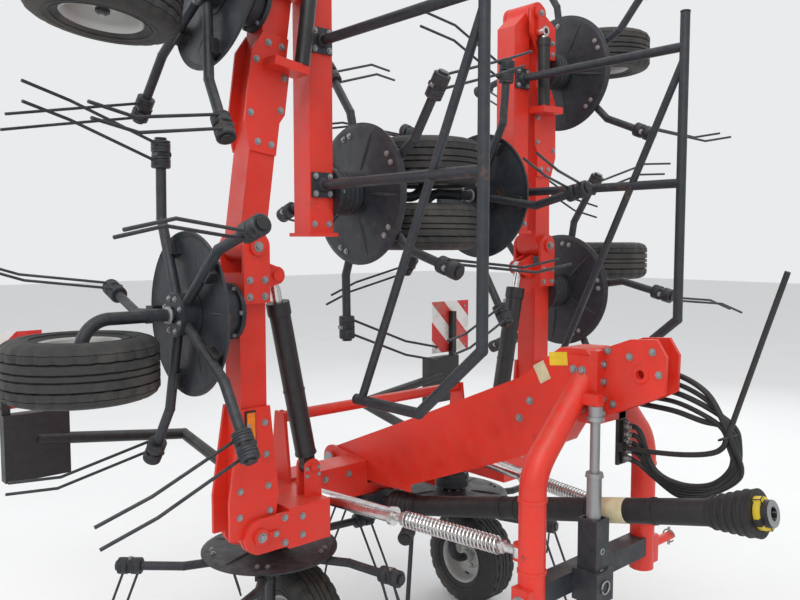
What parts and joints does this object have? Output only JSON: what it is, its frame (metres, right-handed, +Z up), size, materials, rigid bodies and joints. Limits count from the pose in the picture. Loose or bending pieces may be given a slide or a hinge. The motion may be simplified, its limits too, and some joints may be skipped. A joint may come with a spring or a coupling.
{
  "type": "hay tedder",
  "caption": "Mounted hay tedder parked with its wings folded upright: tined rotors with small wheels on folding beams, three-point headstock, drive shaft and stand.",
  "frame": {"origin": "middle of the whole folded and parked machine, at floor level under its wheels and stand", "axes": "+X to the machine's right, +Y forward to the tractor, +Z up"},
  "size_m": [2.805, 2.2652, 3.0237],
  "materials": {
    "red": "gloss orange-red paint with dust, scuffs and a little rust",
    "dark": "dark blue-grey paint, dusty and worn",
    "black": "black paint and black plastic",
    "chrome": "bright plated rods",
    "board": "reflective sheet with red and white stripes",
    "tyre": "dull black rubber with ribs, on a pale rim"
  },
  "bodies": {
    "frame": {"centre_beam": "red", "boom": "red", "headstock": "red", "crossbar": "dark", "input_gearbox": "dark", "drive_shaft": "black", "stabilizers": "chrome", "centre_units": "dark", "stand_strut": "chrome", "light_arms": "black", "warning_boards": "board"},
    "stand": {"stand_leg": "dark"},
    "inner_right": {"section_a_r": "red", "unit_2r": "dark"},
    "middle_right": {"section_b_r": "red", "unit_3r": "dark", "tip_barrel_r": "black", "tip_rod_r": "chrome", "section_c_r": "red", "unit_4r": "dark", "guard_r": "dark"},
    "fold_barrel_right": {"fold_barrel_r": "black"},
    "fold_rod_right": {"fold_rod_r": "chrome"},
    "inner_left": {"section_a_l": "red", "unit_2l": "dark"},
    "middle_left": {"section_b_l": "red", "unit_3l": "dark", "tip_barrel_l": "black", "tip_rod_l": "chrome", "section_c_l": "red", "unit_4l": "dark", "guard_l": "dark"},
    "fold_barrel_left": {"fold_barrel_l": "black"},
    "fold_rod_left": {"fold_rod_l": "chrome"},
    "rotor_1r": {"rotor_1r": "dark"},
    "wheel_1r": {"wheel_1r": "tyre"},
    "rotor_1l": {"rotor_1l": "dark"},
    "wheel_1l": {"wheel_1l": "tyre"},
    "rotor_2r": {"rotor_2r": "dark"},
    "wheel_2r": {"wheel_2r": "tyre"},
    "rotor_2l": {"rotor_2l": "dark"},
    "wheel_2l": {"wheel_2l": "tyre"},
    "rotor_3r": {"rotor_3r": "dark"},
    "wheel_3r": {"wheel_3r": "tyre"},
    "rotor_3l": {"rotor_3l": "dark"},
    "wheel_3l": {"wheel_3l": "tyre"},
    "rotor_4r": {"rotor_4r": "dark"},
    "wheel_4r": {"wheel_4r": "tyre"},
    "rotor_4l": {"rotor_4l": "dark"},
    "wheel_4l": {"wheel_4l": "tyre"}
  },
  "joints": [
    {"name": "fold_right", "type": "hinge", "parent": "frame", "child": "inner_right", "pos_m": [0.7, -0.19, 0.7025], "axis": [0, 1, 0], "range_deg": [0, 90]},
    {"name": "middle_fold_right", "type": "hinge", "parent": "inner_right", "child": "middle_right", "pos_m": [0.7, -0.19, 1.5925], "axis": [0, 1, 0], "range_deg": [0, 8]},
    {"name": "fold_barrel_turn_right", "type": "hinge", "parent": "frame", "child": "fold_barrel_right", "pos_m": [0.47, -0.19, 0.8675], "axis": [0, 1, 0], "range_deg": [0, 82.04]},
    {"name": "fold_rod_slide_right", "type": "slide", "parent": "fold_barrel_right", "child": "fold_rod_right", "axis": [0.2006, 0, 0.9797], "range_m": [0, 0.38388]},
    {"name": "fold_left", "type": "hinge", "parent": "frame", "child": "inner_left", "pos_m": [-0.7, -0.19, 0.7025], "axis": [0, -1, 0], "range_deg": [0, 90]},
    {"name": "middle_fold_left", "type": "hinge", "parent": "inner_left", "child": "middle_left", "pos_m": [-0.7, -0.19, 1.5925], "axis": [0, -1, 0], "range_deg": [0, 1]},
    {"name": "fold_barrel_turn_left", "type": "hinge", "parent": "frame", "child": "fold_barrel_left", "pos_m": [-0.47, -0.19, 0.8675], "axis": [0, -1, 0], "range_deg": [0, 82.04]},
    {"name": "fold_rod_slide_left", "type": "slide", "parent": "fold_barrel_left", "child": "fold_rod_left", "axis": [-0.2006, 0, 0.9797], "range_m": [0, 0.38388]},
    {"name": "stand_slide", "type": "slide", "parent": "frame", "child": "stand", "axis": [0, 0, 1], "range_m": [0, 0.25]},
    {"name": "rotor_spin_1r", "type": "hinge", "parent": "frame", "child": "rotor_1r", "pos_m": [0.465, -0.44, 0.7025], "axis": [0, 0, 1], "continuous": true},
    {"name": "rotor_spin_1l", "type": "hinge", "parent": "frame", "child": "rotor_1l", "pos_m": [-0.465, -0.44, 0.7025], "axis": [0, 0, 1], "continuous": true},
    {"name": "rotor_spin_2r", "type": "hinge", "parent": "inner_right", "child": "rotor_2r", "pos_m": [0.7, -0.19, 1.3975], "axis": [-1, 0, 0], "continuous": true},
    {"name": "rotor_spin_2l", "type": "hinge", "parent": "inner_left", "child": "rotor_2l", "pos_m": [-0.7, -0.19, 1.3975], "axis": [1, 0, 0], "continuous": true},
    {"name": "rotor_spin_3r", "type": "hinge", "parent": "middle_right", "child": "rotor_3r", "pos_m": [0.59771, -0.19, 2.32035], "axis": [-0.9903, 0, -0.1392], "continuous": true},
    {"name": "rotor_spin_3l", "type": "hinge", "parent": "middle_left", "child": "rotor_3l", "pos_m": [-0.68717, -0.19, 2.32739], "axis": [0.9998, 0, -0.0175], "continuous": true},
    {"name": "rotor_spin_4r", "type": "hinge", "parent": "middle_right", "child": "rotor_4r", "pos_m": [0.43921, -0.19, 1.76926], "axis": [1, 0, 0], "continuous": true},
    {"name": "rotor_spin_4l", "type": "hinge", "parent": "middle_left", "child": "rotor_4l", "pos_m": [-0.55178, -0.19, 1.78621], "axis": [-1, 0, 0], "continuous": true},
    {"name": "wheel_spin_1r", "type": "hinge", "parent": "frame", "child": "wheel_1r", "pos_m": [0.34, -0.44, 0.2025], "axis": [1, 0, 0], "continuous": true},
    {"name": "wheel_spin_1l", "type": "hinge", "parent": "frame", "child": "wheel_1l", "pos_m": [-0.34, -0.44, 0.2025], "axis": [-1, 0, 0], "continuous": true},
    {"name": "wheel_spin_2r", "type": "hinge", "parent": "inner_right", "child": "wheel_2r", "pos_m": [1.2, -0.19, 1.2725], "axis": [0, 0, 1], "continuous": true},
    {"name": "wheel_spin_2l", "type": "hinge", "parent": "inner_left", "child": "wheel_2l", "pos_m": [-1.2, -0.19, 1.2725], "axis": [0, 0, 1], "continuous": true},
    {"name": "wheel_spin_3r", "type": "hinge", "parent": "middle_right", "child": "wheel_3r", "pos_m": [1.11024, -0.19, 2.26615], "axis": [-0.1392, 0, 0.9903], "continuous": true},
    {"name": "wheel_spin_3l", "type": "hinge", "parent": "middle_left", "child": "wheel_3l", "pos_m": [-1.18928, -0.19, 2.21113], "axis": [0.0175, 0, 0.9998], "continuous": true},
    {"name": "wheel_spin_4r", "type": "hinge", "parent": "middle_right", "child": "wheel_4r", "pos_m": [-0.06079, -0.19, 1.89426], "axis": [0, 0, -1], "continuous": true},
    {"name": "wheel_spin_4l", "type": "hinge", "parent": "middle_left", "child": "wheel_4l", "pos_m": [-0.05178, -0.19, 1.91121], "axis": [0, 0, -1], "continuous": true}
  ],
  "couplings": [
    {"joint": "middle_fold_right", "follows": "fold_right", "ratio": 0.088889},
    {"joint": "fold_barrel_turn_right", "follows": "fold_right", "ratio": 0.91157},
    {"joint": "fold_rod_slide_right", "follows": "fold_right", "m_per_rad": 0.24438},
    {"joint": "fold_left", "follows": "fold_right", "ratio": 1},
    {"joint": "middle_fold_left", "follows": "fold_right", "ratio": 0.011111},
    {"joint": "fold_barrel_turn_left", "follows": "fold_right", "ratio": 0.91157},
    {"joint": "fold_rod_slide_left", "follows": "fold_right", "m_per_rad": 0.24438},
    {"joint": "rotor_spin_1l", "follows": "rotor_spin_1r", "ratio": -1},
    {"joint": "rotor_spin_2r", "follows": "rotor_spin_1r", "ratio": -1},
    {"joint": "rotor_spin_2l", "follows": "rotor_spin_1r", "ratio": 1},
    {"joint": "rotor_spin_3r", "follows": "rotor_spin_1r", "ratio": 1},
    {"joint": "rotor_spin_3l", "follows": "rotor_spin_1r", "ratio": -1},
    {"joint": "rotor_spin_4r", "follows": "rotor_spin_1r", "ratio": -1},
    {"joint": "rotor_spin_4l", "follows": "rotor_spin_1r", "ratio": 1}
  ]
}
